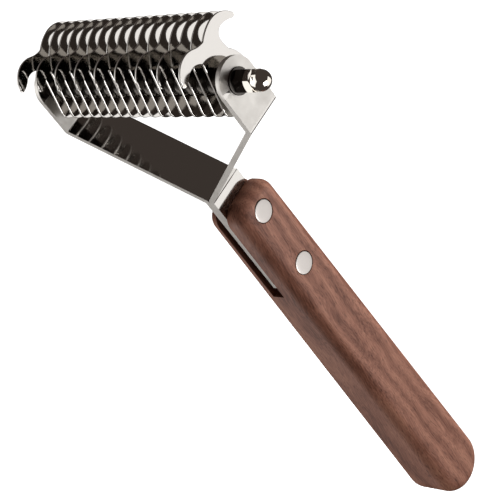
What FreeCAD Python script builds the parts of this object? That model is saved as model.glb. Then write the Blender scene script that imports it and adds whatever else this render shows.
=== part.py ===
"""Double-sided deshedding rake: a pack of hooked steel blades on a rod, held in a
bent strip frame that is riveted into a walnut handle.

Frame: X runs along the blade rod, Y from the handle towards the hooks, Z across the
steel strip. The tool lies on its side, as it does when it is put down. Each piece is
drawn with the middle of the blade pack at zero, on the rod's axis, and is written out
with the origin at the bottom centre of the whole tool's box. Lengths are in millimetres.
"""
import FreeCAD, Part
import math
import os

V = FreeCAD.Vector
X_AXIS = V(1, 0, 0)
Z_AXIS = V(0, 0, 1)

# Bottom centre of the tool's box, measured from the middle of the blade pack
BASE_X = 3.9
BASE_Y = -80.26
BASE_Z = -13.43

# Strip frame
EAR_X = 35.0            # outer face of the right ear
LEFT_EAR_X = 35.8       # of the left ear, which stands a little wider
STRIP_T = 1.5           # strip thickness
STRIP_W = 12.5          # strip width
FOLD_Y = -12.0          # ear meets slanted arm, on the outer face
NECK_Y = -38.7          # slanted arm meets tang, on the outer face
TANG_END_Y = -74.0
EAR_HOLE_R = 1.6
BEND_OUT_R = 1.6        # bend radius on the stretched side of the sheet
BEND_IN_R = 0.4         # bend radius on the squeezed side

# Rod, a long M3 screw with a low round head, and its nuts
ROD_R = 1.5
HEAD_R = 2.85
HEAD_T = 1.65
SOCKET_AF = 2.0         # hexagon socket in the head
SOCKET_T = 1.04
RUN_GAP = 0.05          # running clearance, radial and end to end
WASHER_T = 0.5
WASHER_R = 3.5
NUT_AF = 5.5
NUT_T = 3.6
NUT_TURN = 47.5         # degrees, where tightening left a corner, from +Y towards +Z
CAP_HEX_T = 2.4
CAP_DOME_R = 2.7
CAP_NECK = 1.0          # from the cap's hexagon to the centre of its dome
CAP_WALL = 1.0          # metal left beyond the rod's end
EDGE_CHAMFER = 0.35

# Blade pack
BLADES = 17
PITCH = 3.865
BLADE_T = 0.6
SPACER_R = 3.4
TAIL_TURN = 14.8        # degrees, how far the tail's edge leans from -Y
TAIL_EDGE = 4.73        # distance of that edge from the rod's axis
BODY_R = 8.3            # round body of the blade
BODY_Y = -0.5           # centre of that round
TAIL_CORNER_R = 2.6

# Walnut handle
TOP_Y = -43.4
END_Y = -174.5
TAPER_L = 121.5         # length over which the sides spread
# Each long side's distance from the rod's axis plane, at the top and TAPER_L below it
FRONT = (7.3, 8.2)      # +X
BACK = (6.4, 7.8)       # -X
UPPER = (7.15, 8.3)     # +Z
UNDER = (9.5, 10.3)     # -Z
HANDLE_EDGE_R = 3.7
TOP_CORNER_R = 4.6
KERF_END_Y = -76.5
KERF_FRONT_X = 1.5       # the kerf's wall that the tangs lie against
KERF_BACK_X = -2.6       # the saw cut is a little wider than the two tangs

# Cutler's rivets, each a hollow half and a pin half
RIVET_Y = (-49.5, -70.9)
RIVET_Z = -0.9
RIVET_HEAD_R = 3.3
RIVET_HEAD_T = 2.2
RIVET_PROUD = 0.1
RIVET_TUBE_R = 2.0
RIVET_PIN_R = 1.25
RIVET_HOLE_GAP = 0.08
RIVET_BOTTOM_GAP = 0.6


def export(shape, name):
    """Write one piece to its own STEP file, measured from the tool's base."""
    placed = shape.copy()
    placed.translate(V(-BASE_X, -BASE_Y, -BASE_Z))
    placed.exportStep("parts/%s.step" % name)


def disc(x0, x1, radius):
    """Solid cylinder on the rod's axis between two places along X."""
    return Part.makeCylinder(radius, x1 - x0, V(x0, 0, 0), X_AXIS)


def ring(x0, x1, outer, inner):
    """Cylinder on the rod's axis with a bore."""
    return disc(x0, x1, outer).cut(disc(x0 - 1, x1 + 1, inner))


def mirror_x(shape):
    """The same piece on the other side of the tool."""
    return shape.mirror(V(0, 0, 0), X_AXIS)


def extrude_outline(edges, direction):
    """Solid from a closed loop of edges."""
    return Part.Face(Part.Wire(edges)).extrude(direction)


def edges_at(solid, places):
    """Edges that run along Z through the given X, Y places."""
    return [e for e in solid.Edges
            if any(all(math.hypot(v.X - x, v.Y - y) < 0.01 for v in e.Vertexes) for x, y in places)]


def arm(ear_x):
    """Half of the frame at +X: ear, slanted arm and tang bent from one strip."""
    slope = math.atan2(ear_x - STRIP_T, FOLD_Y - NECK_Y)
    # A mitred offset moves each bend along the strip by this much
    shift = STRIP_T * math.tan(slope / 2)
    outer = [(ear_x, STRIP_W), (ear_x, FOLD_Y), (STRIP_T, NECK_Y), (STRIP_T, TANG_END_Y)]
    inner = [(0, TANG_END_Y), (0, NECK_Y + shift), (ear_x - STRIP_T, FOLD_Y + shift),
             (ear_x - STRIP_T, STRIP_W)]
    corners = [V(x, y, -STRIP_W / 2) for x, y in outer + inner]
    strip = Part.Face(Part.makePolygon(corners + corners[:1])).extrude(V(0, 0, STRIP_W))

    # The sheet stretches on the outside of each bend and is squeezed on the inside
    strip = strip.makeFillet(BEND_OUT_R, edges_at(strip, [outer[1], inner[1]]))
    strip = strip.makeFillet(BEND_IN_R, edges_at(strip, [outer[2], inner[2]]))

    # Round end of the ear, concentric with its hole, and square end of the tang
    half = STRIP_W / 2
    keep = Part.makeCylinder(half, ear_x * 2, V(-ear_x / 2, 0, 0), X_AXIS)
    keep = keep.fuse(Part.makeBox(ear_x * 2, -TANG_END_Y, STRIP_W, V(-ear_x / 2, TANG_END_Y, -half)))
    strip = strip.common(keep)
    strip = strip.cut(disc(0, ear_x * 2, EAR_HOLE_R))
    for y in RIVET_Y:
        strip = strip.cut(Part.makeCylinder(RIVET_TUBE_R, STRIP_W, V(-half, y, RIVET_Z), X_AXIS))
    return strip.removeSplitter()


def blade_outline(two_hooks):
    """Closed loop of edges for one blade, in the Y-Z plane."""
    lean = math.radians(TAIL_TURN)
    along = V(0, -math.cos(lean), math.sin(lean))      # down the tail's edge
    across = V(0, math.sin(lean), math.cos(lean))      # from the rod to that edge

    def p(y, z):
        return V(0, y, z)

    def arc(*points):
        return Part.Arc(*[p(*q) for q in points]).toShape()

    centre = p(BODY_Y, 0)
    reach = math.sqrt(BODY_R ** 2 - (TAIL_EDGE - centre.dot(across)) ** 2)
    corner = across * TAIL_EDGE + along * (centre.dot(along) + reach)
    root_y = 7.2
    root = (root_y, (TAIL_EDGE - root_y * math.sin(lean)) / math.cos(lean))
    shoulder_y = 5.0
    shoulder = (shoulder_y, -math.sqrt(BODY_R ** 2 - (shoulder_y - BODY_Y) ** 2))
    neck = (12.05, -1.1)

    edges = [
        # round body, from the tail's corner to the upper shoulder
        Part.Arc(corner, p(BODY_Y - BODY_R * 0.8, -BODY_R * 0.6), p(*shoulder)).toShape(),
        # throat of the upper hook
        arc(shoulder, (6.6, -5.87), (8.2, -5.75)),
        arc((8.2, -5.75), (9.95, -6.5), (10.65, -8.4)),
        arc((10.65, -8.4), (10.15, -10.5), (9.1, -12.4)),
        # its tip and its back
        arc((9.1, -12.4), (9.3, -13.25), (10.2, -13.3)),
        arc((10.2, -13.3), (13.2, -10.2), (13.95, -6.6)),
        arc((13.95, -6.6), (13.3, -3.6), neck),
    ]
    if two_hooks:
        edges += [
            # back of the lower hook, its tip and its throat
            arc(neck, (12.35, 0.7), (13.1, 2.4)),
            arc((13.1, 2.4), (13.85, 6.3), (12.4, 9.4)),
            arc((12.4, 9.4), (11.2, 10.45), (9.8, 10.95)),
            arc((9.8, 10.95), (8.85, 11.1), (8.6, 10.3)),
            arc((8.6, 10.3), (9.0, 8.9), (9.75, 7.6)),
            arc((9.75, 7.6), (10.15, 5.6), (9.3, 3.6)),
            arc((9.3, 3.6), (8.4, 2.9), root),
        ]
    else:
        edges += [arc(neck, (10.1, 1.1), root)]
    edges.append(Part.LineSegment(p(*root), corner).toShape())
    return edges, corner


def blade(x, two_hooks):
    """One flat blade, centred on x along the rod."""
    edges, corner = blade_outline(two_hooks)
    plate = extrude_outline(edges, V(BLADE_T, 0, 0))
    sharp = [e for e in plate.Edges
             if all(math.hypot(v.Y - corner.y, v.Z - corner.z) < 0.01 for v in e.Vertexes)]
    plate = plate.makeFillet(TAIL_CORNER_R, sharp)
    plate.translate(V(x - BLADE_T / 2, 0, 0))
    return plate.cut(disc(x - BLADE_T, x + BLADE_T, ROD_R + RUN_GAP))


def hexagon(x0, x1, across_flats):
    """Hexagonal prism on the rod's axis with its end corners turned off."""
    radius = across_flats / math.sqrt(3)
    turns = [math.radians(60 * i + NUT_TURN) for i in range(6)]
    points = [V(x0, radius * math.cos(t), radius * math.sin(t)) for t in turns]
    prism = Part.Face(Part.makePolygon(points + points[:1])).extrude(V(x1 - x0, 0, 0))
    inset = radius - across_flats / 2
    profile = [V(x0, 0, 0), V(x0, radius - inset, 0), V(x0 + EDGE_CHAMFER, radius, 0),
               V(x1 - EDGE_CHAMFER, radius, 0), V(x1, radius - inset, 0), V(x1, 0, 0), V(x0, 0, 0)]
    turned = Part.Face(Part.makePolygon(profile)).revolve(V(0, 0, 0), X_AXIS, 360)
    return prism.common(turned)


def cap_nut(x0):
    """Domed cap nut with a blind bore, its open face at x0."""
    dome_x = x0 + CAP_HEX_T + CAP_NECK
    body = hexagon(x0, x0 + CAP_HEX_T, NUT_AF).fuse(disc(x0 + CAP_HEX_T / 2, dome_x, CAP_DOME_R))
    body = body.fuse(Part.makeSphere(CAP_DOME_R, V(dome_x, 0, 0)))
    return body.cut(disc(x0 - 1, dome_x + CAP_DOME_R - CAP_WALL, ROD_R + RUN_GAP)).removeSplitter()


def slope_of(side):
    return (side[1] - side[0]) / TAPER_L


def side_at(side, y):
    """Distance of one long side of the handle at one place along it."""
    return side[0] + slope_of(side) * (TOP_Y - y)


def handle():
    """Walnut handle with a full round end, all its edges rounded, sawn for the tangs."""
    # Circle that touches both narrow sides and reaches END_Y
    up, down = slope_of(UPPER), slope_of(UNDER)
    up_n, down_n = math.hypot(1, up), math.hypot(1, down)
    spread = side_at(UPPER, 0) + side_at(UNDER, 0)
    radius = (spread - (up + down) * END_Y) / (up + down + up_n + down_n)
    centre = V(0, END_Y + radius, side_at(UPPER, END_Y + radius) - radius * up_n)
    corners = [V(0, TOP_Y, UPPER[0]), centre + V(0, up, 1) * (radius / up_n),
               centre + V(0, down, -1) * (radius / down_n), V(0, TOP_Y, -UNDER[0])]
    plan = [Part.LineSegment(corners[0], corners[1]).toShape(),
            Part.Arc(corners[1], centre - V(0, radius, 0), corners[2]).toShape(),
            Part.LineSegment(corners[2], corners[3]).toShape(),
            Part.LineSegment(corners[3], corners[0]).toShape()]
    wide = STRIP_W * 2
    block = extrude_outline(plan, V(wide * 2, 0, 0))
    block.translate(V(-wide, 0, 0))
    block = block.makeFillet(TOP_CORNER_R, [e for e in block.Edges if e.Length > wide * 1.9
                                            and all(abs(v.Y - TOP_Y) < 0.01 for v in e.Vertexes)
                                            and abs(e.Vertexes[0].Z - e.Vertexes[1].Z) < 0.01])
    # The broad sides spread too
    for way, side in ((1, FRONT), (-1, BACK)):
        points = [V(way * side_at(side, y), y, -wide) for y in (0, END_Y * 1.2)]
        points += [V(way * wide * 2, END_Y * 1.2, -wide), V(way * wide * 2, 0, -wide)]
        block = block.cut(Part.Face(Part.makePolygon(points + points[:1])).extrude(V(0, 0, wide * 2)))
    rims = [e for e in block.Edges for way, side in ((1, FRONT), (-1, BACK))
            if all(abs(v.X * way - side_at(side, v.Y)) < 0.01 for v in e.Vertexes)]
    block = block.makeFillet(HANDLE_EDGE_R, rims)
    kerf = Part.makeBox(KERF_FRONT_X - KERF_BACK_X, TOP_Y - KERF_END_Y + 1, wide)
    kerf.translate(V(KERF_BACK_X, KERF_END_Y, -wide / 2))
    block = block.cut(kerf)
    for y in RIVET_Y:
        block = block.cut(Part.makeCylinder(RIVET_TUBE_R, wide, V(-wide / 2, y, RIVET_Z), X_AXIS))
        for way, side in ((1, FRONT), (-1, BACK)):
            seat_x = way * (side_at(side, y) + RIVET_PROUD - RIVET_HEAD_T)
            block = block.cut(Part.makeCylinder(RIVET_HEAD_R + RIVET_HOLE_GAP, wide,
                                                V(seat_x, y, RIVET_Z), X_AXIS * way))
    return block


def rivet_halves(y):
    """The hollow half, headed at +X, and the pin half, headed at -X."""
    seat, back_seat = [side_at(side, y) + RIVET_PROUD - RIVET_HEAD_T for side in (FRONT, BACK)]
    length = seat + back_seat

    def post(x, radius, height):
        return Part.makeCylinder(radius, height, V(x, y, RIVET_Z), X_AXIS)

    def head(x, outer_x):
        blank = post(x, RIVET_HEAD_R, RIVET_HEAD_T)
        rim = [e for e in blank.Edges if e.Closed and abs(e.Vertexes[0].X - outer_x) < 0.01]
        return blank.makeFillet(0.2, rim)

    tube = head(seat, seat + RIVET_HEAD_T).fuse(post(-back_seat, RIVET_TUBE_R, length))
    tube = tube.cut(post(-back_seat, RIVET_PIN_R, length - RIVET_BOTTOM_GAP))
    outer_x = -back_seat - RIVET_HEAD_T
    pin = head(outer_x, outer_x).fuse(post(-back_seat, RIVET_PIN_R, length - RIVET_BOTTOM_GAP * 2))
    return tube.removeSplitter(), pin.removeSplitter()


os.makedirs("parts", exist_ok=True)

export(arm(EAR_X), "arm_right")
export(mirror_x(arm(LEFT_EAR_X)), "arm_left")
export(handle(), "handle")
for number, rivet_y in enumerate(RIVET_Y, 1):
    hollow, pin = rivet_halves(rivet_y)
    export(hollow, "rivet_%d_tube" % number)
    export(pin, "rivet_%d_pin" % number)

# Washer, lock nut and cap nut, from the right ear outwards
nut_x = EAR_X + WASHER_T
cap_x = nut_x + NUT_T
export(ring(EAR_X, nut_x, WASHER_R, EAR_HOLE_R), "washer")
export(hexagon(nut_x, cap_x, NUT_AF).cut(disc(0, cap_x * 2, ROD_R)), "lock_nut")
export(cap_nut(cap_x + RUN_GAP), "cap_nut")

# Rod, with its head against the left ear
rod_end = cap_x + CAP_HEX_T + CAP_NECK
shank = disc(-LEFT_EAR_X, rod_end, ROD_R)
shank = shank.makeChamfer(EDGE_CHAMFER, [e for e in shank.Edges if e.Closed and e.Vertexes[0].X > 0])
head = disc(-LEFT_EAR_X - HEAD_T, -LEFT_EAR_X, HEAD_R)
head = head.makeFillet(HEAD_T * 0.8, [e for e in head.Edges
                                      if e.Closed and e.Vertexes[0].X < -LEFT_EAR_X - HEAD_T / 2])
socket = hexagon(-LEFT_EAR_X - HEAD_T - 1, -LEFT_EAR_X - HEAD_T + SOCKET_T, SOCKET_AF)
export(shank.fuse(head).cut(socket).removeSplitter(), "rod")

pack_half = (BLADES - 1) / 2 * PITCH
for number in range(1, BLADES + 1):
    x = -pack_half + (number - 1) * PITCH
    export(blade(x, number % 2 == 1), "blade_%02d" % number)
    if number < BLADES:
        gap_start = x + BLADE_T / 2
        spacer = ring(gap_start, gap_start + PITCH - BLADE_T, SPACER_R, ROD_R + RUN_GAP)
        export(spacer, "spacer_%02d" % number)
end_x = pack_half + BLADE_T / 2
for side, ear_x in (("right", EAR_X), ("left", LEFT_EAR_X)):
    spacer = ring(end_x, ear_x - STRIP_T - RUN_GAP, SPACER_R, ROD_R + RUN_GAP)
    export(spacer if side == "right" else mirror_x(spacer), "end_spacer_" + side)
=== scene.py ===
"""Double-sided deshedding rake, finished: polished blades and frame, walnut handle, studio."""
import math

import bmesh
import bpy
from mathutils import Matrix, Vector


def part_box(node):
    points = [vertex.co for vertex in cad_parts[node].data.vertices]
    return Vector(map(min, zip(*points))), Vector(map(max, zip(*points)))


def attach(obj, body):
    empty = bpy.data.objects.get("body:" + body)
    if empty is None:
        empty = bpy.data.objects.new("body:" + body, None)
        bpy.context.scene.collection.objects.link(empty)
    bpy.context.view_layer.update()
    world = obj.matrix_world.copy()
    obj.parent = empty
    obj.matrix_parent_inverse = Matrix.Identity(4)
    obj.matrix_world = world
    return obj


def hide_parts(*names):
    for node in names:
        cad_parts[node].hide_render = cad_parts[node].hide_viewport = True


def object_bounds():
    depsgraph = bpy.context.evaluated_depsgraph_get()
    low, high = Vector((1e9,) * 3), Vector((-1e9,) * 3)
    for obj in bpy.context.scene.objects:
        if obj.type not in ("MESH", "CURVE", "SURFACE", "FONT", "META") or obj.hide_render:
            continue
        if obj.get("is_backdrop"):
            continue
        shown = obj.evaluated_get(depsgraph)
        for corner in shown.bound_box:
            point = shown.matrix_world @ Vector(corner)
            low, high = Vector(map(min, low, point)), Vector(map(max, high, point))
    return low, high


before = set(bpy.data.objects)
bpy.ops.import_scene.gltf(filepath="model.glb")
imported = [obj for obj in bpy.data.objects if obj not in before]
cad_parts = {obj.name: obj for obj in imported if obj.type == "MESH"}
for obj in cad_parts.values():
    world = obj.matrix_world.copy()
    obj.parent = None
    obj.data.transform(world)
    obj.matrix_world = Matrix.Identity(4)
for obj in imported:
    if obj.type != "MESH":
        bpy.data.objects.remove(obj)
cad_low, cad_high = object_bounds()

# Camera: a long lens close over the head, rolled so that the handle runs down to the right
camera = bpy.data.objects.new("camera", bpy.data.cameras.new("camera"))
bpy.context.scene.collection.objects.link(camera)
bpy.context.scene.camera = camera
camera.location = (0.32525, 0.28335, 0.21968)
camera.rotation_euler = [math.radians(a) for a in (-60.475, 29.058, -36.143)]
camera.data.lens = 123.98
camera.data.clip_start = 0.01
bpy.context.view_layer.update()

# ---------------------------------------------------------------------------------------
# Strip frame: two arms of mirror-polished stainless strip, bent on a press brake into
# ear, slanted arm and tang. Blanked edges are tumbled, so they are satin and just rounded.
MM = 0.001
ROD = sum(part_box("blade_09"), Vector()) / 2
rod_low, rod_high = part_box("rod")
ROD.y, ROD.z = (rod_low.y + rod_high.y) / 2, (rod_low.z + rod_high.z) / 2      # middle of the pack
arm_low, arm_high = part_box("arm_right")
STRIP_HALF = (arm_high.z - arm_low.z) / 2
TANG_END = arm_low.y - ROD.y
STRIP_T = 1.5 * MM
FOLD_Y = -12.0 * MM
NECK_Y = -38.7 * MM
EAR_HOLE_R = 1.6 * MM


def linear(hex_colour):
    """sRGB hex to linear RGBA."""
    parts = [int(hex_colour[i:i + 2], 16) / 255 for i in (1, 3, 5)]
    return [p / 12.92 if p <= 0.04045 else ((p + 0.055) / 1.055) ** 2.4 for p in parts] + [1.0]


def add_node(tree, kind, sockets=None, **settings):
    """Add a node, set its properties, and set or link its sockets."""
    made = tree.nodes.new(kind)
    for name, value in settings.items():
        setattr(made, name, value)
    for name, value in (sockets or {}).items():
        if isinstance(value, bpy.types.NodeSocket):
            tree.links.new(value, made.inputs[name])
        else:
            made.inputs[name].default_value = value
    return made


def new_material(name):
    """An empty node material with its output; returns the material, its tree and the output."""
    made = bpy.data.materials.new(name)
    made.use_nodes = True
    made.node_tree.nodes.clear()
    return made, made.node_tree, add_node(made.node_tree, "ShaderNodeOutputMaterial")


def metal(name, colour, rough, haze, line_scale, line_depth, wave_depth=0.0):
    """A metal with patchy haze, fine lines along one axis and a slow waviness."""
    made, tree, out = new_material(name)
    place = add_node(tree, "ShaderNodeTexCoord").outputs["Object"]
    cloud = add_node(tree, "ShaderNodeTexNoise", {"Vector": place, "Scale": 260.0, "Detail": 3.0})
    rough_map = add_node(tree, "ShaderNodeMapRange",
                         {"Value": cloud.outputs["Fac"], "From Min": 0.3, "From Max": 0.7,
                          "To Min": rough, "To Max": rough + haze})
    stretched = add_node(tree, "ShaderNodeMapping", {"Vector": place, "Scale": line_scale})
    lines = add_node(tree, "ShaderNodeTexNoise",
                     {"Vector": stretched.outputs["Vector"], "Scale": 1.0, "Detail": 2.0})
    bump = add_node(tree, "ShaderNodeBump",
                    {"Height": lines.outputs["Fac"], "Strength": 1.0, "Distance": line_depth})
    normal = bump.outputs["Normal"]
    if wave_depth:
        wave = add_node(tree, "ShaderNodeTexNoise", {"Vector": place, "Scale": 90.0, "Detail": 0.0})
        slow = add_node(tree, "ShaderNodeBump", {"Height": wave.outputs["Fac"], "Strength": 1.0,
                                                 "Distance": wave_depth, "Normal": normal})
        normal = slow.outputs["Normal"]
    shader = add_node(tree, "ShaderNodeBsdfPrincipled",
                      {"Base Color": linear(colour), "Metallic": 1.0,
                       "Roughness": rough_map.outputs["Result"], "Normal": normal})
    tree.links.new(shader.outputs["BSDF"], out.inputs["Surface"])
    return made


def piece(name, mesh_data, *materials):
    """A new object from a bmesh, closed and facing outwards."""
    bmesh.ops.remove_doubles(mesh_data, verts=mesh_data.verts, dist=1e-7)
    bmesh.ops.recalc_face_normals(mesh_data, faces=mesh_data.faces)
    mesh = bpy.data.meshes.new(name)
    mesh_data.to_mesh(mesh)
    mesh_data.free()
    made = bpy.data.objects.new(name, mesh)
    bpy.context.scene.collection.objects.link(made)
    for material in materials:
        mesh.materials.append(material)
    return made


def settle(thing, sharp_angle=35):
    """Turn an object's modifiers into plain mesh and mark its real edges sharp."""
    bpy.context.view_layer.update()
    result = thing.evaluated_get(bpy.context.evaluated_depsgraph_get())
    done = bpy.data.meshes.new_from_object(result)
    thing.modifiers.clear()
    thing.data = done
    done.shade_smooth()
    done.set_sharp_from_angle(angle=math.radians(sharp_angle))


def carve(thing, tool, operation="DIFFERENCE"):
    """Cut, keep or add the tool's volume, and throw the tool away."""
    cut = thing.modifiers.new("carve", "BOOLEAN")
    cut.object, cut.operation, cut.solver = tool, operation, "EXACT"
    settle(thing)
    bpy.data.objects.remove(tool)


def soften(thing, width, segments=2, angle=40, flat_area=1e-6):
    """Round the sharp edges by a small radius; faces above flat_area stay truly flat."""
    bevel = thing.modifiers.new("soften", "BEVEL")
    bevel.width, bevel.segments, bevel.angle_limit = width, segments, math.radians(angle)
    bevel.use_clamp_overlap = True
    settle(thing, sharp_angle=60)
    for polygon in thing.data.polygons:
        polygon.use_smooth = polygon.area < flat_area


def extruded(points, offset):
    """A closed outline pushed along offset into a solid bmesh."""
    made = bmesh.new()
    face = made.faces.new([made.verts.new(p) for p in points])
    pushed = bmesh.ops.extrude_face_region(made, geom=[face])
    far = [g for g in pushed["geom"] if isinstance(g, bmesh.types.BMVert)]
    bmesh.ops.translate(made, vec=offset, verts=far)
    return made


def lathe(profile, y, z, segments=64, loop=False):
    """Turn a profile of (x, radius) about the line along X through y, z."""
    made = bmesh.new()
    rings = []
    for x, radius in profile:
        turns = [2 * math.pi * i / segments for i in range(segments)] if radius > 0 else [0]
        rings.append([made.verts.new((x, y + radius * math.cos(t), z + radius * math.sin(t)))
                      for t in turns])
    for first, second in zip(rings, rings[1:] + (rings[:1] if loop else [])):
        for i in range(segments):
            j = (i + 1) % segments
            corners = [first[i % len(first)], first[j % len(first)],
                       second[j % len(second)], second[i % len(second)]]
            corners = [c for k, c in enumerate(corners) if c not in corners[:k]]
            if len(corners) > 2:
                made.faces.new(corners)
    return made


def corner_arc(before, corner, after, radius, steps=8):
    """Points of the arc that rounds one corner of a flat outline."""
    a, b = (before - corner).normalized(), (after - corner).normalized()
    half = a.angle(b) / 2
    centre = corner + (a + b).normalized() * radius / math.sin(half)
    start = corner + a * radius / math.tan(half)
    sweep = (start - centre).angle_signed(corner + b * radius / math.tan(half) - centre)
    return [centre + Matrix.Rotation(-sweep * i / steps, 2) @ (start - centre)
            for i in range(steps + 1)]


def cylinder(x0, x1, y, z, radius, segments=96):
    """A throwaway cylinder along X, for carving."""
    return piece("tool", lathe([(x0, 0), (x0, radius), (x1, radius), (x1, 0)], y, z, segments))


# Type 304 stainless, buffed to a mirror: it shows whatever it faces, slightly wavy where
# the buff dwelt, and darkens with each bounce between the blades
polished = metal("mirror_buffed_stainless", "#C0BDB9", 0.06, 0.02, (400, 90, 400), 2e-7, 1.5e-6)
# The same steel where it was blanked and tumbled: a pale satin line
tumbled = metal("tumbled_stainless_edge", "#DAD7D2", 0.46, 0.10, (900, 900, 900), 2e-6)


def arm(side, ear_x):
    """One bent strip; side is +1 or -1 along X, ear_x how far its ear stands out."""
    slope = math.atan2(ear_x - STRIP_T, FOLD_Y - NECK_Y)
    shift = STRIP_T * math.tan(slope / 2)
    tip = 2 * STRIP_HALF
    stretched, squeezed = 1.6 * MM, 0.4 * MM
    corners = [(ear_x, tip, 0), (ear_x, FOLD_Y, stretched),
               (STRIP_T, NECK_Y, squeezed), (STRIP_T, TANG_END, 0),
               (0, TANG_END, 0), (0, NECK_Y + shift, stretched),
               (ear_x - STRIP_T, FOLD_Y + shift, squeezed), (ear_x - STRIP_T, tip, 0)]
    outline = []
    for i, (x, y, radius) in enumerate(corners):
        here = Vector((x, y))
        if radius:
            before, after = Vector(corners[i - 1][:2]), Vector(corners[(i + 1) % len(corners)][:2])
            outline += corner_arc(before, here, after, radius)
        else:
            outline.append(here)
    points = [(ROD.x + side * p.x, ROD.y + p.y, ROD.z - STRIP_HALF) for p in outline]
    strip = piece("arm", extruded(points, (0, 0, 2 * STRIP_HALF)), polished)
    # The ear's end is a half round about the rod
    stadium = [(0, ROD.y + TANG_END - MM, ROD.z - STRIP_HALF)]
    for i in range(65):
        turn = math.pi * (i / 64 - 0.5)
        stadium.append((0, ROD.y + STRIP_HALF * math.cos(turn),
                        ROD.z + STRIP_HALF * math.sin(turn)))
    stadium.append((0, ROD.y + TANG_END - MM, ROD.z + STRIP_HALF))
    reach = 2 * ear_x
    keep = piece("tool", extruded([(-reach, y, z) for _, y, z in stadium], (2 * reach, 0, 0)))
    carve(strip, keep, "INTERSECT")
    carve(strip, cylinder(ROD.x + side * MM * 20, ROD.x + side * reach, ROD.y, ROD.z, EAR_HOLE_R))
    return strip


for side, name in ((1, "right"), (-1, "left")):
    low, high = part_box("arm_" + name)
    strip = arm(side, high.x - ROD.x if side > 0 else ROD.x - low.x)
    strip.name = "polished_arm_" + name
    soften(strip, 0.12 * MM)
    strip.data.materials.clear()
    strip.data.materials.append(polished)
    strip.data.materials.append(tumbled)
    for face in strip.data.polygons:
        # The sheet's own faces lie along Z or square to X; everything else was blanked
        in_sheet = abs(face.normal.z) < 0.3 and not (
            abs(face.normal.y) > 0.3 and face.center.y > ROD.y + FOLD_Y + MM)
        bore = math.hypot(face.center.y - ROD.y, face.center.z - ROD.z) < EAR_HOLE_R * 1.05
        face.material_index = 0 if in_sheet and not bore else 1
    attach(strip, "frame")
    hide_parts("arm_" + name)

# ---------------------------------------------------------------------------------------
# Handle: one piece of walnut, turned over on a spindle moulder, sawn for the tangs,
# sanded and oiled. Open-pored, matt, with flat-sawn figure along the grip.
TOP_Y, END_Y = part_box("handle")[1].y - ROD.y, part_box("handle")[0].y - ROD.y
# Distance of each long side from the rod, at the handle's top and TAPER_L below it
FRONT, BACK = (7.3 * MM, 8.2 * MM), (6.4 * MM, 7.8 * MM)
UPPER, UNDER = (7.15 * MM, 8.3 * MM), (9.5 * MM, 10.3 * MM)
TAPER_L = 121.5 * MM
EDGE_R = 3.7 * MM
TOP_CORNER_R = 4.6 * MM
KERF = (-2.6 * MM, 1.5 * MM)
KERF_END = -76.5 * MM
RIVET_R = 3.3 * MM
HEAD_T = 2.2 * MM
SEAT_GAP = 0.12 * MM


def side_at(side, y):
    """Distance of one long side from the rod, at y beyond the rod."""
    return side[0] + (side[1] - side[0]) / TAPER_L * (TOP_Y - y)


def handle_body():
    """The plan with rounded top corners and a full round end, as thick as the broad sides say."""
    up, down = [(side[1] - side[0]) / TAPER_L for side in (UPPER, UNDER)]
    up_n, down_n = math.hypot(1, up), math.hypot(1, down)
    spread = side_at(UPPER, 0) + side_at(UNDER, 0)
    radius = (spread - (up + down) * END_Y) / (up + down + up_n + down_n)
    centre = Vector((END_Y + radius, side_at(UPPER, END_Y + radius) - radius * up_n))
    corners = [Vector((TOP_Y, -UNDER[0])), Vector((TOP_Y, UPPER[0]))]
    plan = corner_arc(centre - Vector((0, radius)), corners[0], corners[1], TOP_CORNER_R, 10)
    plan += corner_arc(corners[0], corners[1], centre + Vector((0, radius)), TOP_CORNER_R, 10)
    # Round end, from the upper side through the tip to the under side
    first, last = math.atan2(1, up), 2 * math.pi - math.atan2(1, down)
    turns = [first + (last - first) * i / 64 for i in range(65)]
    plan += [centre + radius * Vector((math.cos(t), math.sin(t))) for t in turns]
    made = extruded([(-1.0, ROD.y + p.x, ROD.z + p.y) for p in plan], (2.0, 0, 0))
    for vert in made.verts:
        y = vert.co.y - ROD.y
        vert.co.x = ROD.x + (side_at(FRONT, y) if vert.co.x > 0 else -side_at(BACK, y))
    return made


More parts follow.
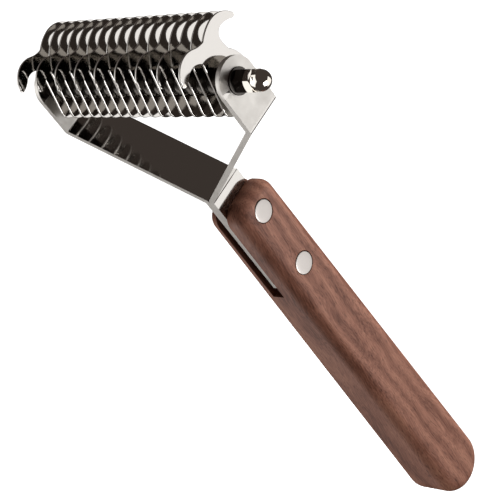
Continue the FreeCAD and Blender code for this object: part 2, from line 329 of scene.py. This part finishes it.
def walnut_material():
    """Oiled walnut: growth rings cut at a low angle, fine fibre, short pores, brown-grey."""
    made, tree, out = new_material("oiled_walnut")
    place = add_node(tree, "ShaderNodeTexCoord").outputs["Object"]

    def noise(scale, detail, roughness=0.5, vector=place):
        stretched = add_node(tree, "ShaderNodeMapping", {"Vector": vector, "Scale": scale})
        return add_node(tree, "ShaderNodeTexNoise",
                        {"Vector": stretched.outputs["Vector"], "Scale": 1.0,
                         "Detail": detail, "Roughness": roughness})

    def blend(factor, a, b):
        # Mix has its colour sockets under the same names as its value sockets
        mix = add_node(tree, "ShaderNodeMix", data_type="RGBA")
        for index, value in ((0, factor), (6, a), (7, b)):
            if isinstance(value, bpy.types.NodeSocket):
                tree.links.new(value, mix.inputs[index])
            else:
                mix.inputs[index].default_value = value
        return mix.outputs[2]

    # Rings lean across the grip, so that they run out on its broad faces as flat-sawn figure
    leaning = add_node(tree, "ShaderNodeMapping",
                       {"Vector": place, "Location": (0.0, 0.0, 0.012),
                        "Rotation": (0.07, 0.0, 0.13)})
    drift = noise((55, 22, 55), 2.0, 0.5)
    shifted = add_node(tree, "ShaderNodeVectorMath",
                       {0: drift.outputs["Color"], 1: (0.012, 0.0, 0.012),
                        2: leaning.outputs["Vector"]},
                       operation="MULTIPLY_ADD")
    rings = add_node(tree, "ShaderNodeTexWave",
                     {"Vector": shifted.outputs["Vector"], "Scale": 75.0, "Distortion": 1.5,
                      "Detail": 3.0, "Detail Scale": 1.6},
                     wave_type="RINGS", rings_direction="Y", wave_profile="SIN")
    # Fine fibre, about 0.3 mm across and a centimetre or two long
    fibre = noise((2300, 110, 2300), 3.0, 0.6, shifted.outputs["Vector"])
    # Open pores: faint dashes about 0.2 mm wide and 2 mm long
    pores = noise((3300, 420, 3300), 1.0, 0.5, shifted.outputs["Vector"])
    pore_mask = add_node(tree, "ShaderNodeMapRange",
                         {"Value": pores.outputs["Fac"], "From Min": 0.28, "From Max": 0.44,
                          "To Min": 1.0, "To Max": 0.0})
    patches = noise((90, 30, 90), 2.0)

    def weigh(value, weight, more=0.0):
        return add_node(tree, "ShaderNodeMath", {0: value, 1: weight, 2: more},
                        operation="MULTIPLY_ADD").outputs[0]

    tone = weigh(rings.outputs["Fac"], 0.22,
                 weigh(fibre.outputs["Fac"], 0.75, weigh(patches.outputs["Fac"], 0.35)))
    ramp = add_node(tree, "ShaderNodeValToRGB", {"Fac": tone})
    stops = ramp.color_ramp.elements
    stops[0].position, stops[0].color = 0.42, linear("#5A3527")
    stops[1].position, stops[1].color = 0.90, linear("#956854")
    for spot, colour in ((0.58, "#754B3B"), (0.72, "#845847")):
        stops.new(spot).color = linear(colour)
    pore_depth = weigh(pore_mask.outputs["Result"], 0.5)
    colour = blend(pore_depth, ramp.outputs["Color"], linear("#3A2018"))
    relief = weigh(fibre.outputs["Fac"], 0.3, weigh(pore_mask.outputs["Result"], -1.0))
    bump = add_node(tree, "ShaderNodeBump", {"Height": relief, "Strength": 0.5, "Distance": 4e-5})
    shader = add_node(tree, "ShaderNodeBsdfPrincipled",
                      {"Base Color": colour, "Roughness": 0.55, "Specular IOR Level": 0.22,
                       "Normal": bump.outputs["Normal"]})
    tree.links.new(shader.outputs["BSDF"], out.inputs["Surface"])
    return made


walnut = walnut_material()
grip = piece("walnut_handle", handle_body(), walnut)
soften(grip, EDGE_R, 9, 60)
saw = [(ROD.x + x, ROD.y + KERF_END, ROD.z - 20 * MM) for x in KERF] + \
      [(ROD.x + x, ROD.y + TOP_Y + 5 * MM, ROD.z - 20 * MM) for x in KERF[::-1]]
carve(grip, piece("tool", extruded(saw, (0, 0, 40 * MM))))
for number in (1, 2):
    back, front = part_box("rivet_%d_pin" % number)[0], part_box("rivet_%d_tube" % number)[1]
    y, z = front.y - RIVET_R, front.z - RIVET_R
    for face, way in ((front.x, 1), (back.x, -1)):
        seat = cylinder(face - way * HEAD_T, face + way * 20 * MM, y, z, RIVET_R + SEAT_GAP)
        carve(grip, seat)
soften(grip, 0.22 * MM, angle=50, flat_area=5e-5)
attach(grip, "frame")
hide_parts("handle")

# ---------------------------------------------------------------------------------------
# Rivets: cutler's rivets in two halves, a hollow one and a pin, pressed together through
# wood and tangs. Their flat heads are sanded with the wood, so they are satin, not bright.
TUBE_R, PIN_R = 2.0 * MM, 1.25 * MM
satin = metal("sanded_aluminium_rivet", "#A9A4A0", 0.30, 0.12, (350, 2400, 350), 3e-6)

for number in (1, 2):
    back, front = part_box("rivet_%d_pin" % number)[0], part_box("rivet_%d_tube" % number)[1]
    y, z = front.y - RIVET_R, front.z - RIVET_R
    seat, back_seat = front.x - HEAD_T, back.x + HEAD_T
    rim = 0.3 * MM
    # How far the face lies behind the outermost point, and its radius there
    head = [(0, 0), (0.02 * MM, RIVET_R * 0.5), (0.06 * MM, RIVET_R - rim)]
    head += [(0.06 * MM + rim * (1 - math.cos(t)), RIVET_R - rim + rim * math.sin(t))
             for t in (math.pi / 8 * i for i in range(1, 5))]
    tube = [(front.x - depth, r) for depth, r in head]
    tube += [(seat, RIVET_R), (seat, TUBE_R), (back_seat, TUBE_R), (back_seat, PIN_R),
             (seat - 0.6 * MM, PIN_R), (seat - 0.6 * MM, 0)]
    pin = [(back.x + depth, r) for depth, r in head]
    pin += [(back_seat, RIVET_R), (back_seat, PIN_R * 0.99),
            (seat - 1.2 * MM, PIN_R * 0.99), (seat - 1.2 * MM, 0)]
    for kind, profile in (("tube", tube), ("pin", pin)):
        half = piece("rivet_%d_%s_half" % (number, kind), lathe(profile, y, z), satin)
        settle(half, 40)
        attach(half, "frame")
        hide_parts("rivet_%d_%s" % (number, kind))

# ---------------------------------------------------------------------------------------
# Rod: one long steel screw with a low round head behind the left ear; spacers and nuts hide
# the rest, so it keeps its own mesh and only gets its metal.
rod_steel = metal("rolled_rod_steel", "#A8A6A2", 0.28, 0.10, (2500, 200, 200), 2e-6)
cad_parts["rod"].data.materials.clear()
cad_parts["rod"].data.materials.append(rod_steel)

# ---------------------------------------------------------------------------------------
# Blades: blanked from 0.6 mm stainless, ground and buffed on both faces. Odd ones carry a
# coarse hook and a fine hook, even ones only the fine hook; all have a round body.
BLADE_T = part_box("blade_01")[1].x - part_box("blade_01")[0].x
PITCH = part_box("blade_02")[0].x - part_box("blade_01")[0].x
FIRST_X = (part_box("blade_01")[0].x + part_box("blade_01")[1].x) / 2
TAIL_LEAN = math.radians(14.8)
# In millimetres, as in the outline: the tail's edge from the rod, its corner and the body
TAIL_EDGE = 4.73
TAIL_R = 2.6
BODY_R, BODY_Y = 8.3, -0.5
BORE_R = 1.55 * MM


def blade_outline(two_hooks, steps=10):
    """The blade's closed outline in millimetres from the rod, as Y, Z points."""
    along = Vector((-math.cos(TAIL_LEAN), math.sin(TAIL_LEAN)))
    across = Vector((math.sin(TAIL_LEAN), math.cos(TAIL_LEAN)))
    centre = Vector((BODY_Y, 0))
    reach = math.sqrt(BODY_R ** 2 - (TAIL_EDGE - centre.dot(across)) ** 2)
    corner = across * TAIL_EDGE + along * (centre.dot(along) + reach)
    root = Vector((7.2, (TAIL_EDGE - 7.2 * math.sin(TAIL_LEAN)) / math.cos(TAIL_LEAN)))
    shoulder = Vector((5.0, -math.sqrt(BODY_R ** 2 - (5.0 - BODY_Y) ** 2)))
    neck = (12.05, -1.1)
    arcs = [
        (shoulder, (6.6, -5.87), (8.2, -5.75)),
        ((8.2, -5.75), (9.95, -6.5), (10.65, -8.4)),
        ((10.65, -8.4), (10.15, -10.5), (9.1, -12.4)),
        ((9.1, -12.4), (9.3, -13.25), (10.2, -13.3)),
        ((10.2, -13.3), (13.2, -10.2), (13.95, -6.6)),
        ((13.95, -6.6), (13.3, -3.6), neck)]
    if two_hooks:
        arcs += [
            (neck, (12.35, 0.7), (13.1, 2.4)),
            ((13.1, 2.4), (13.85, 6.3), (12.4, 9.4)),
            ((12.4, 9.4), (11.2, 10.45), (9.8, 10.95)),
            ((9.8, 10.95), (8.85, 11.1), (8.6, 10.3)),
            ((8.6, 10.3), (9.0, 8.9), (9.75, 7.6)),
            ((9.75, 7.6), (10.15, 5.6), (9.3, 3.6)),
            ((9.3, 3.6), (8.4, 2.9), root)]
    else:
        arcs.append((neck, (10.1, 1.1), root))
    outline = []
    for a, b, c in arcs:
        a, b, c = Vector(a), Vector(b), Vector(c)
        # Centre of the circle through three points
        d = 2 * (a.x * (b.y - c.y) + b.x * (c.y - a.y) + c.x * (a.y - b.y))
        middle = Vector(((a.length_squared * (b.y - c.y) + b.length_squared * (c.y - a.y)
                          + c.length_squared * (a.y - b.y)) / d,
                         (a.length_squared * (c.x - b.x) + b.length_squared * (a.x - c.x)
                          + c.length_squared * (b.x - a.x)) / d))
        sweep = -((a - middle).angle_signed(b - middle) + (b - middle).angle_signed(c - middle))
        outline += [middle + Matrix.Rotation(sweep * i / steps, 2) @ (a - middle)
                    for i in range(steps)]
    # The tail's corner is rounded between its straight edge and the round body
    inner = (BODY_R - TAIL_R) ** 2 - (TAIL_EDGE - TAIL_R - centre.dot(across)) ** 2
    round_centre = across * (TAIL_EDGE - TAIL_R) + along * (centre.dot(along) + math.sqrt(inner))
    outline.append(root)
    start = Vector(across)
    finish = (round_centre - centre).normalized()
    sweep = -start.angle_signed(finish)
    outline += [round_centre + Matrix.Rotation(sweep * i / steps, 2) @ start * TAIL_R
                for i in range(steps + 1)]
    first = round_centre + finish * TAIL_R - centre
    sweep = -first.angle_signed(shoulder - centre)
    sweep += 2 * math.pi if sweep < 0 else 0
    outline += [centre + Matrix.Rotation(sweep * i / 40, 2) @ first for i in range(1, 40)]
    return outline


def plate(name, two_hooks):
    """One blade with its bore, at the first blade's place."""
    points = [(FIRST_X - BLADE_T / 2, ROD.y + p.x * MM, ROD.z + p.y * MM)
              for p in blade_outline(two_hooks)]
    made = piece(name, extruded(points, (BLADE_T, 0, 0)), polished, tumbled)
    carve(made, cylinder(FIRST_X - BLADE_T, FIRST_X + BLADE_T, ROD.y, ROD.z, BORE_R, 48))
    soften(made, 0.11 * MM, 2, 40)
    return made


def new_tree(name, **inputs):
    """A geometry node group with these inputs; returns it and its input node."""
    tree = bpy.data.node_groups.new(name, "GeometryNodeTree")
    for label, kind in inputs.items():
        tree.interface.new_socket(name=label, in_out="INPUT", socket_type="NodeSocket" + kind)
    tree.interface.new_socket(name="Geometry", in_out="OUTPUT", socket_type="NodeSocketGeometry")
    return tree, add_node(tree, "NodeGroupInput")


def row_tree():
    """Geometry nodes: the incoming piece repeated along X, its cut edges in their own metal."""
    tree, given = new_tree("row_along_rod", Geometry="Geometry", Count="Int", Step="Float",
                           Faces="Material", Edges="Material")
    step = add_node(tree, "ShaderNodeCombineXYZ", {"X": given.outputs["Step"]})
    line = add_node(tree, "GeometryNodeMeshLine",
                    {"Count": given.outputs["Count"], "Offset": step.outputs["Vector"]})
    placed = add_node(tree, "GeometryNodeInstanceOnPoints",
                      {"Points": line.outputs["Mesh"], "Instance": given.outputs["Geometry"]})
    real = add_node(tree, "GeometryNodeRealizeInstances", {"Geometry": placed.outputs["Instances"]})
    faces = add_node(tree, "GeometryNodeSetMaterial",
                     {"Geometry": real.outputs["Geometry"], "Material": given.outputs["Faces"]})
    normal = add_node(tree, "GeometryNodeInputNormal")
    across = add_node(tree, "ShaderNodeSeparateXYZ", {"Vector": normal.outputs["Normal"]})
    size = add_node(tree, "ShaderNodeMath", {0: across.outputs["X"]}, operation="ABSOLUTE")
    edge = add_node(tree, "ShaderNodeMath", {0: size.outputs[0], 1: 0.3}, operation="LESS_THAN")
    edges = add_node(tree, "GeometryNodeSetMaterial",
                     {"Geometry": faces.outputs["Geometry"], "Selection": edge.outputs[0],
                      "Material": given.outputs["Edges"]})
    add_node(tree, "NodeGroupOutput", {"Geometry": edges.outputs["Geometry"]})
    return tree


row = row_tree()


def run_tree(thing, tree, **values):
    """Run a geometry node tree on an object and keep the result as plain mesh."""
    modifier = thing.modifiers.new(tree.name, "NODES")
    modifier.node_group = tree
    for item in tree.interface.items_tree:
        if item.in_out == "INPUT" and item.name in values:
            modifier[item.identifier] = values[item.name]
    flat = [not p.use_smooth for p in thing.data.polygons]
    settle(thing, sharp_angle=60)
    for i, polygon in enumerate(thing.data.polygons if flat else []):
        polygon.use_smooth = not flat[i % len(flat)]


for name, two_hooks, first, count in (("two_hook_blades", True, 0, 9),
                                      ("one_hook_blades", False, 1, 8)):
    blades = plate(name, two_hooks)
    blades.data.transform(Matrix.Translation((first * PITCH, 0, 0)))
    run_tree(blades, row, Count=count, Step=2 * PITCH, Faces=polished, Edges=tumbled)
    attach(blades, "blade_pack")
    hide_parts(*["blade_%02d" % (first + 1 + 2 * i) for i in range(count)])

# ---------------------------------------------------------------------------------------
# Spacers and washer: short lengths of blackened steel tube between the blades, one more at
# each end, and a stamped washer under the lock nut.
turned = metal("blackened_steel_spacer", "#4A4744", 0.30, 0.10, (3000, 300, 300), 3e-6)


def ring_tree():
    """Geometry nodes: a bored ring about X, its corners rounded, repeated along X."""
    tree, given = new_tree("rings_along_rod", Geometry="Geometry", Count="Int", Step="Float",
                           Start="Vector", Length="Float", Outer="Float", Bore="Float",
                           Corner="Float", Metal="Material")
    radii = {0: given.outputs["Outer"], 1: given.outputs["Bore"]}
    wall = add_node(tree, "ShaderNodeMath", radii, operation="SUBTRACT")
    twice = add_node(tree, "ShaderNodeMath", radii, operation="ADD")
    middle = add_node(tree, "ShaderNodeMath", {0: twice.outputs[0], 1: 0.5}, operation="MULTIPLY")
    path = add_node(tree, "GeometryNodeCurvePrimitiveCircle",
                    {"Resolution": 48, "Radius": middle.outputs[0]})
    section = add_node(tree, "GeometryNodeCurvePrimitiveQuadrilateral",
                       {"Width": wall.outputs[0], "Height": given.outputs["Length"]})
    rounded = add_node(tree, "GeometryNodeFilletCurve",
                       {"Curve": section.outputs["Curve"], "Count": 3,
                        "Radius": given.outputs["Corner"]}, mode="POLY")
    swept = add_node(tree, "GeometryNodeCurveToMesh",
                     {"Curve": path.outputs["Curve"], "Profile Curve": rounded.outputs["Curve"]})
    step = add_node(tree, "ShaderNodeCombineXYZ", {"X": given.outputs["Step"]})
    line = add_node(tree, "GeometryNodeMeshLine",
                    {"Count": given.outputs["Count"], "Offset": step.outputs["Vector"],
                     "Start Location": given.outputs["Start"]})
    placed = add_node(tree, "GeometryNodeInstanceOnPoints",
                      {"Points": line.outputs["Mesh"], "Instance": swept.outputs["Mesh"],
                       "Rotation": (0, math.pi / 2, 0)})
    real = add_node(tree, "GeometryNodeRealizeInstances", {"Geometry": placed.outputs["Instances"]})
    done = add_node(tree, "GeometryNodeSetMaterial", {"Geometry": real.outputs["Geometry"],
                                                      "Material": given.outputs["Metal"]})
    add_node(tree, "NodeGroupOutput", {"Geometry": done.outputs["Geometry"]})
    return tree


rings = ring_tree()
for name, nodes, body, slot_name, corner in (
        ("blade_spacers", ["spacer_%02d" % n for n in range(1, 17)],
         "blade_pack", "spacer_steel", 0.15 * MM),
        ("end_spacer_sleeve_left", ["end_spacer_left"], "blade_pack", "spacer_steel", 0.15 * MM),
        ("end_spacer_sleeve_right", ["end_spacer_right"], "blade_pack", "spacer_steel", 0.15 * MM),
        ("plain_washer", ["washer"], "frame", "nut_steel", 0.1 * MM)):
    low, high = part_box(nodes[0])
    start = (low + high) / 2
    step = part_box(nodes[1])[0].x - low.x if len(nodes) > 1 else 0.0
    group = piece(name, bmesh.new())
    run_tree(group, rings, Count=len(nodes), Step=step, Start=start, Length=high.x - low.x,
             Outer=(high.z - low.z) / 2, Bore=BORE_R, Corner=corner, Metal=turned)
    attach(group, body)
    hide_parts(*nodes)

# ---------------------------------------------------------------------------------------
# Lock nut: an M3 hexagon nut, black nickel plated, with its corners turned off at both ends.
NUT_AF = 5.5 * MM
NUT_TURN = 47.5         # degrees from +Y to its first corner
nickel = metal("black_nickel_nut", "#4E4A48", 0.12, 0.08, (1500, 1500, 1500), 1e-6)


def hexagon(x0, x1, chamfer=0.35 * MM):
    """A hexagonal prism along the rod with turned-off corners."""
    radius = NUT_AF / math.sqrt(3)
    turns = [math.radians(60 * i + NUT_TURN) for i in range(6)]
    corners = [(x0, ROD.y + radius * math.cos(t), ROD.z + radius * math.sin(t)) for t in turns]
    prism = piece("hexagon", extruded(corners, (x1 - x0, 0, 0)), nickel)
    inset = NUT_AF / 2
    way = math.copysign(chamfer, x1 - x0)
    turned_off = [(x0, 0), (x0, inset), (x0 + way, radius),
                  (x1 - way, radius), (x1, inset), (x1, 0)]
    carve(prism, piece("tool", lathe(turned_off, ROD.y, ROD.z, 96)), "INTERSECT")
    return prism


low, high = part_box("lock_nut")
nut = hexagon(low.x, high.x)
nut.name = "hex_lock_nut"
carve(nut, cylinder(low.x - MM, high.x + MM, ROD.y, ROD.z, 1.5 * MM, 48))
soften(nut, 0.06 * MM, 2, 35)
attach(nut, "frame")
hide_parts("lock_nut")

# ---------------------------------------------------------------------------------------
# Cap nut: a domed M3 nut, bright nickel, screwed on over the rod's right end.
DOME_R = 2.7 * MM
CAP_HEX_T = 2.4 * MM
bright = metal("bright_nickel_cap", "#CFCAC2", 0.04, 0.04, (1500, 1500, 1500), 5e-7)

low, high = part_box("cap_nut")
cap = hexagon(low.x, low.x + CAP_HEX_T)
cap.name = "dome_nut"
centre_x = high.x - DOME_R
dome = [(low.x + MM, 0), (low.x + MM, DOME_R)]
dome += [(centre_x + DOME_R * math.sin(t), DOME_R * math.cos(t))
         for t in (math.pi / 2 * i / 24 for i in range(24))]
carve(cap, piece("tool", lathe(dome + [(high.x, 0)], ROD.y, ROD.z, 96)), "UNION")
carve(cap, cylinder(low.x - MM, high.x - MM, ROD.y, ROD.z, BORE_R, 48))
soften(cap, 0.05 * MM, 2, 35)
cap.data.materials.clear()
cap.data.materials.append(bright)
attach(cap, "cap")
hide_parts("cap_nut")

# ---------------------------------------------------------------------------------------
# Studio: a white floor with its own even wash of light, softboxes that each light only the
# metal or the wood that needs them, and a dim warm room for the steel to reflect.
sheet = [(-3.0, 0.32, 0), (-3.0, -3.0, 0), (3.0, -3.0, 0), (3.0, -0.112, 0)]
floor = piece("floor", extruded(sheet, (0, 0, -0.01)))
paper, paper_tree, paper_out = new_material("white_paper_floor")
paper_shader = add_node(paper_tree, "ShaderNodeBsdfPrincipled",
                        {"Base Color": linear("#F4F4F4"), "Roughness": 0.9,
                         "Specular IOR Level": 0.0})
paper_tree.links.new(paper_shader.outputs["BSDF"], paper_out.inputs["Surface"])
floor.data.materials.append(paper)
floor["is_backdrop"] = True

middle = (cad_low + cad_high) / 2


def softbox(name, way, distance, size, power):
    """A white area light that faces the middle of the tool."""
    data = bpy.data.lights.new(name, "AREA")
    data.shape, data.size, data.size_y, data.energy = "RECTANGLE", size[0], size[1], power
    made = bpy.data.objects.new(name, data)
    bpy.context.scene.collection.objects.link(made)
    way = Vector(way).normalized()
    made.location = middle + way * distance
    made.rotation_mode = "QUATERNION"
    made.rotation_quaternion = way.to_track_quat("Z", "Y")
    return made


def lit_group(name, things):
    """A collection of the objects that one light may reach."""
    made = bpy.data.collections.new(name)
    for thing in things:
        made.objects.link(thing)
    return made


metals = [t for t in bpy.context.scene.objects if t.type == "MESH" and t not in (floor, grip)]
arms = [t for t in metals if t.name.startswith("polished_arm")]
metal_only = lit_group("metal_only", metals)
wood_only = lit_group("wood_only", [grip])
near_arm = lit_group("near_arm", [bpy.data.objects["polished_arm_right"]])
both_arms = lit_group("both_arms", arms)
dome_only = lit_group("dome_only", [cap])
blades_and_nuts = lit_group("blades_and_nuts", [t for t in metals if t not in arms])
# Each softbox: where it stands, how far off, its size in metres, its power in watts
for name, way, distance, size, power, lit in (
        ("key_right", (0.9, -0.35, 0.25), 0.7, (0.5, 0.5), 6.0, blades_and_nuts),
        ("low_right", (0.706, -0.56, -0.43), 0.8, (0.9, 0.9), 3.8, metal_only),
        ("rim_left", (-0.72, 0.42, 0.52), 0.7, (0.6, 0.5), 1.8, metal_only),
        ("grazing_card", (-0.706, -0.56, -0.43), 0.8, (0.9, 0.9), 4.1, near_arm),
        ("edge_card", (-0.3, -0.2, 0.9), 0.7, (0.5, 0.5), 1.6, both_arms),
        ("dome_card", (-0.7, 0.5, 0.5), 0.7, (1.1, 1.1), 6.0, dome_only),
        ("wood_front", (0.8, -0.25, -0.5), 0.8, (0.5, 0.5), 4.7, wood_only),
        ("wood_side", (-0.5, -0.25, 0.8), 0.8, (0.5, 0.5), 5.0, wood_only)):
    softbox(name, way, distance, size, power).light_linking.receiver_collection = lit
floor.visible_glossy = False
floor.visible_shadow = False

lit_by_wash = lit_group("lit_by_wash", [floor])
# Each wash keeps its strength with distance, so the floor stays even
for name, place, target, power, cone in (
        ("floor_wash", camera.location, middle, 125.0, 70),
        ("far_wash", (-0.35, -0.35, 0.5), (-0.38, -0.25, 0), 52.0, 80)):
    wash_data = bpy.data.lights.new(name, "SPOT")
    wash_data.spot_size, wash_data.spot_blend = math.radians(cone), 0.3
    wash_data.shadow_soft_size = 0.002
    wash_data.energy = 1.0
    wash_data.use_nodes = True
    wash_tree = wash_data.node_tree
    even = add_node(wash_tree, "ShaderNodeLightFalloff", {"Strength": power})
    wash_tree.links.new(even.outputs["Constant"], wash_tree.nodes["Emission"].inputs["Strength"])
    wash = bpy.data.objects.new(name, wash_data)
    bpy.context.scene.collection.objects.link(wash)
    wash.location = place
    wash.rotation_mode = "QUATERNION"
    wash.rotation_quaternion = (Vector(place) - Vector(target)).to_track_quat("Z", "Y")
    wash.light_linking.receiver_collection = lit_by_wash

room = bpy.data.worlds.new("dim_room")
bpy.context.scene.world = room
room.use_nodes = True
room.node_tree.nodes["Background"].inputs["Color"].default_value = (0.075, 0.061, 0.054, 1)
bpy.context.scene.view_settings.view_transform = "Standard"

low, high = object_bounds()
